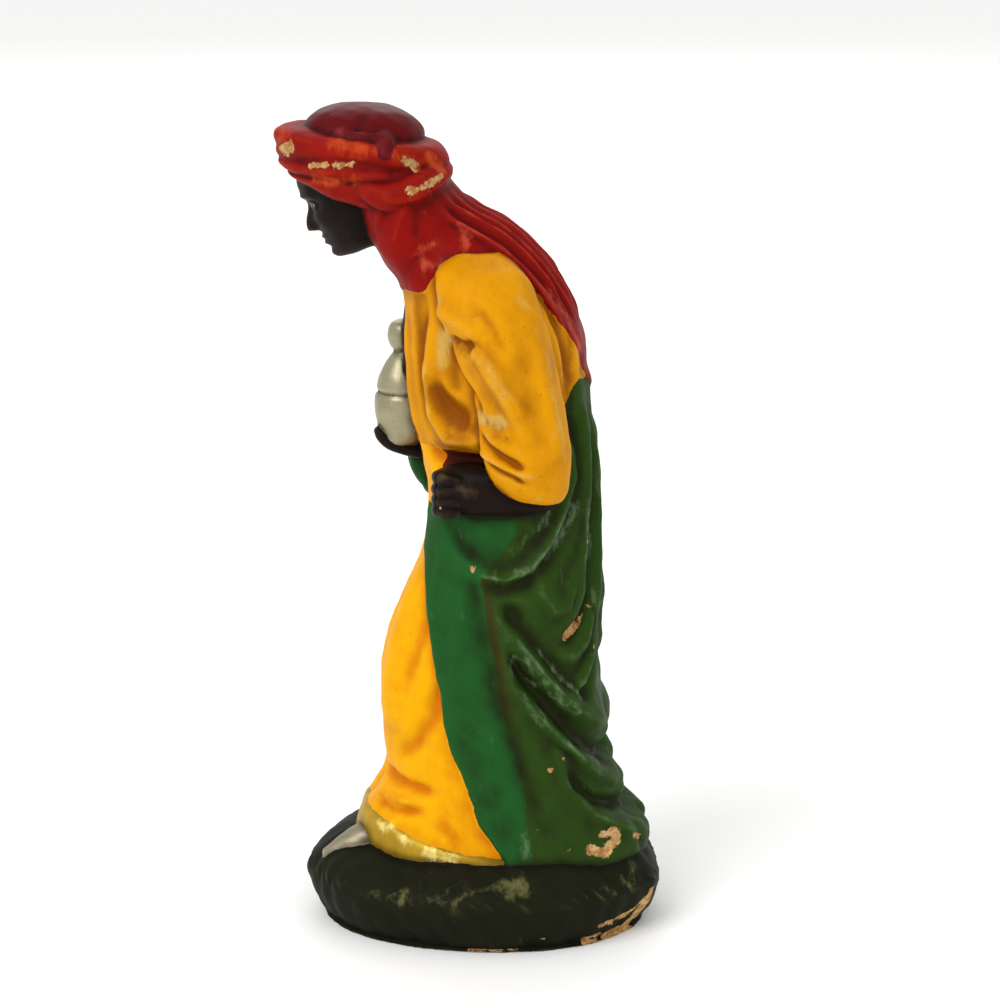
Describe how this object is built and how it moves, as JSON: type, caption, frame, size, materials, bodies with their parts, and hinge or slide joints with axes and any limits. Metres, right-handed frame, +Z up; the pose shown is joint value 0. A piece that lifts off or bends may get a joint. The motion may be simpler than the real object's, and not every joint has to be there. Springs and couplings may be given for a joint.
{
  "type": "figurine",
  "caption": "Stooped robed wise man figurine in turban, scarf and wrapped cloak, holding a small lidded vessel, cast in one piece with an oval ground base.",
  "frame": {"origin": "middle of the flat underside of the base", "axes": "+Z up, the figure faces -Y, +X towards the figure's left hand"},
  "size_m": [0.038, 0.0511, 0.1089],
  "materials": {
    "painted_plaster": "hand-painted plaster with a satin sheen: yellow gown and tunic, green cloak, red scarf and turban, dark base; chipped and dirty with age"
  },
  "bodies": {
    "root": {"wise_man_casting": "painted_plaster"}
  },
  "joints": []
}
